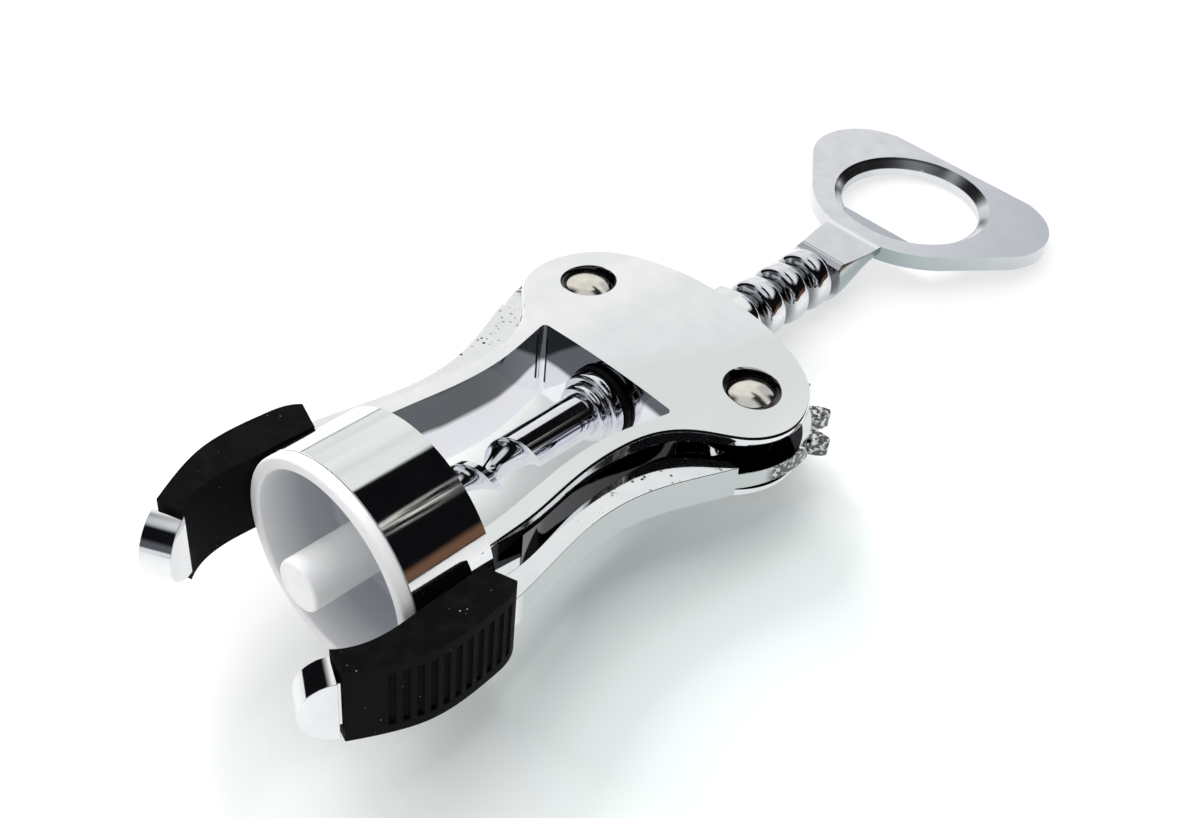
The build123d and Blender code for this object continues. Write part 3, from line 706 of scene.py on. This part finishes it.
# Heights and the table's patch of shade are in millimetres, and the table's size is in metres
floorLook = {
    "slope": 0.1331, "height": -20.4, "size": 3.0, "colour": (0.93, 0.945, 0.94), "cloud": (12, 3),
    "roughness": (0.22, 0.3), "shadowTone": (0.68, 0.75, 0.74), "tonePlace": (36, 36), "toneEdge": (75, 26),
    "toneWander": (25, 2, 40), "glow": (0.6, 0.08), "mirrorGlow": 0.7, "whiteFrom": (130, 350),
}


def makeFloor():
    # The tool leans on its collar's edge and its handle's end, so the table is a plane that rises along Y.
    look = floorLook
    half = look["size"]
    square = [(-half, -half), (half, -half), (half, half), (-half, half)]
    corners = [(x, y, look["height"] * mm + y * look["slope"]) for x, y in square]
    mesh = bpy.data.meshes.new("table")
    mesh.from_pydata(corners, [], [(0, 1, 2, 3)])
    obj = bpy.data.objects.new("table", mesh)
    bpy.context.scene.collection.objects.link(obj)
    material, tree, shader, place = newMaterial("tableTop")
    cloud = noise(tree, place, *look["cloud"])
    # Painted shadow: in an uneven patch beside the tool, around tonePlace, the table's colour turns to a
    # darker grey-green
    away = [combine(tree, "SUBTRACT", *pair) for pair in zip(millimetres(tree, place), look["tonePlace"])]
    far = distanceOf(tree, *away)
    uneven = added(tree, far, wander(tree, place, *look["toneWander"]))
    shadowed = ramp(tree, uneven, *look["toneEdge"])
    tree.links.new(between(tree, shadowed, look["colour"], look["shadowTone"]), shader.inputs["Base Color"])
    tree.links.new(ranged(tree, cloud, *roughSpan, *look["roughness"]), shader.inputs["Roughness"])
    # Seen by the camera or in a reflection, part of the table is plain white, so its shadows stay light; near
    # the tool, where the painted shadow lies, less of it is white to the camera, and far from the tool it is
    # all white.
    path = tree.nodes.new("ShaderNodeLightPath")
    glow = tree.nodes.new("ShaderNodeEmission").outputs["Emission"]
    seen, mirrored = path.outputs["Is Camera Ray"], path.outputs["Is Glossy Ray"]
    shown = multiplied(tree, seen, ranged(tree, shadowed, 0, 1, *look["glow"]))
    distant = multiplied(tree, seen, ramp(tree, far, *look["whiteFrom"]))
    factor = combine(tree, "MAXIMUM", shown, multiplied(tree, mirrored, look["mirrorGlow"]))
    factor = combine(tree, "MAXIMUM", distant, factor)
    surface = blendShaders(tree, factor, shader.outputs["BSDF"], glow)
    tree.links.new(surface, tree.nodes["Material Output"].inputs["Surface"])
    mesh.materials.append(material)


# Each lamp: direction it shines from, distance and size in metres, and power in watts
lampTarget = (0.0, 0.07, 0.0)
lamps = {
    "window": {
        "from": (-0.75, 0.20, 0.62), "distance": 0.8, "size": 0.22, "power": 5.0, "colour": (1, 0.99, 0.96),
    },
    "overhead": {
        "from": (-0.25, 0.25, 1.0), "distance": 0.9, "size": 0.8, "power": 6.0, "colour": (1, 1, 1),
    },
}


def makeLamps():
    for name, look in lamps.items():
        data = bpy.data.lights.new(name, "AREA")
        data.size, data.energy, data.color = look["size"], look["power"], look["colour"]
        obj = bpy.data.objects.new(name, data)
        obj.visible_glossy = False  # the chrome mirrors the room alone
        way = unit(look["from"])
        placeFacing(obj, unit(np.cross((0, 1, 0), way)), way, np.array(lampTarget) + way * look["distance"])


# Directions are parts of a unit vector, and rise is the part that points up from the table
room = {
    "bright": (1.0, 1.0, 0.975), "grey": (0.62, 0.65, 0.69), "dark": (0.004, 0.004, 0.005),
    "leftX": (-0.01, -0.07), "leftY": (0.0, 0.2), "leftWander": (9, 3, 0.09),
    "lowerY": (0.63, 0.55), "lowerShift": 0.13, "middleY": (0.50, 0.58, 0.02), "middleShift": 0.17,
    "behindX": (0.6, 0.52), "behindY": (0.57, 0.61), "behindRise": (0.5, 0.58),
    "hazeX": (-0.45, -0.33), "hazeY": (0.66, 0.74), "blotch": (3.5, 2), "blotchSpan": (0.4, 0.62, 0, 0.35),
    "wood": (0.16, 0.085, 0.05), "woodFoot": (0.0, 0.03), "woodTop": (0.21, 0.12), "woodX": (0.35, 0.65),
    "woodY": (0.85, 0.65), "streak": (0.75, 0.77, 0.70), "streakX": (0.40, 0.56, 0.03),
    "streakY": (0.36, 0.52, 0.04), "streakZ": (0.66, 0.84, 0.04), "speckle": (16, 5, 0.75),
    "speckleEdge": (0.46, 0.56), "above": (0.74, 0.76, 0.775), "aboveY": (0.40, 0.28), "aboveZ": (0.84, 0.93),
    "front": (0.80, 0.82, 0.85), "frontDark": (0.10, 0.105, 0.12), "frontY": (-0.40, -0.60),
    "frontCloud": (2.6, 2), "frontSpan": (0.44, 0.56), "onlookerX": (-0.32, -0.16), "onlookerZ": (0.33, 0.5),
    "ground": (1, 1, 1), "horizon": (0.0, 0.02), "fill": 0.45, "frontFill": 0.9, "fillY": (-0.1, -0.5),
}


def backgroundLight(tree, colour, strength):
    node = tree.nodes.new("ShaderNodeBackground")
    node.inputs["Strength"].default_value = strength
    if isinstance(colour, tuple):
        node.inputs["Color"].default_value = (*colour, 1)
    else:
        tree.links.new(colour, node.inputs["Color"])
    return node.outputs["Background"]


def roomColour(tree, place):
    # Bright over the left and behind, dark over the right, with a brown strip low down on the dark side
    # and a speckled streak in it, pale grey straight above, and to the front a mottled grey with a dark
    # patch. Below the table's level it is white.
    look = room
    x, y, z = parts(tree, place)
    rise = combine(tree, "SUBTRACT", z, multiplied(tree, y, floorLook["slope"]))
    wobble = wander(tree, place, *look["leftWander"])
    lower = multiplied(tree, ramp(tree, y, *look["lowerY"]), look["lowerShift"])
    middle = multiplied(tree, inside(tree, y, *look["middleY"]), look["middleShift"])
    wavyX, wavyY = added(tree, x, lower, middle, wobble), added(tree, y, wobble)
    left = multiplied(
        tree, ramp(tree, wavyX, *look["leftX"]), ramp(tree, rise, *look["horizon"]),
        ramp(tree, y, *look["leftY"]))
    behind = multiplied(
        tree, ramp(tree, wavyY, *look["behindY"]), ramp(tree, rise, *look["behindRise"]),
        ramp(tree, x, *look["behindX"]))
    haze = multiplied(tree, ramp(tree, x, *look["hazeX"]), ramp(tree, y, *look["hazeY"]))
    blotch = ranged(tree, noise(tree, place, *look["blotch"]), *look["blotchSpan"])
    wood = multiplied(
        tree, ramp(tree, rise, *look["woodFoot"]), ramp(tree, rise, *look["woodTop"]),
        ramp(tree, x, *look["woodX"]), ramp(tree, y, *look["woodY"]))
    streak = multiplied(
        tree, inside(tree, x, *look["streakX"]), inside(tree, y, *look["streakY"]),
        inside(tree, z, *look["streakZ"]),
        ramp(tree, noise(tree, place, *look["speckle"]), *look["speckleEdge"]))
    bright = between(tree, combine(tree, "MAXIMUM", haze, blotch), look["bright"], look["grey"])
    above = multiplied(tree, ramp(tree, y, *look["aboveY"]), ramp(tree, z, *look["aboveZ"]))
    overhead = between(tree, blotch, look["above"], look["grey"])
    mottle = ramp(tree, noise(tree, place, *look["frontCloud"]), *look["frontSpan"])
    onlooker = multiplied(tree, ramp(tree, x, *look["onlookerX"]), ramp(tree, z, *look["onlookerZ"]))
    front = between(tree, mottle, look["front"], look["frontDark"])
    front = between(tree, onlooker, front, look["dark"])
    colour = between(tree, wood, look["dark"], look["wood"])
    colour = between(tree, streak, colour, look["streak"])
    colour = between(tree, combine(tree, "MAXIMUM", left, behind), colour, bright)
    colour = between(tree, above, colour, overhead)
    colour = between(tree, ramp(tree, y, *look["frontY"]), colour, front)
    return between(tree, ramp(tree, rise, 0, -look["horizon"][1]), colour, look["ground"])


def makeWorld():
    # Only reflections see the room. The camera sees plain white, and matt surfaces get an even pale light
    # that is stronger from the front.
    world = bpy.data.worlds.new("room")
    bpy.context.scene.world = world
    world.use_nodes = True
    tree = world.node_tree
    tree.nodes.clear()
    place = tree.nodes.new("ShaderNodeTexCoord").outputs["Generated"]
    path = tree.nodes.new("ShaderNodeLightPath")
    fill, frontFill = (backgroundLight(tree, (1, 1, 1), room[name]) for name in ("fill", "frontFill"))
    plain = blendShaders(tree, ramp(tree, parts(tree, place)[1], *room["fillY"]), fill, frontFill)
    mirrored = backgroundLight(tree, roomColour(tree, place), 1)
    shown = blendShaders(tree, path.outputs["Is Glossy Ray"], plain, mirrored)
    shown = blendShaders(tree, path.outputs["Is Camera Ray"], shown, backgroundLight(tree, (1, 1, 1), 1))
    tree.links.new(shown, tree.nodes.new("ShaderNodeOutputWorld").inputs["Surface"])


makeCamera()
makeFloor()
makeLamps()
makeWorld()
bpy.context.scene.view_settings.view_transform = "Standard"
print("stage made")
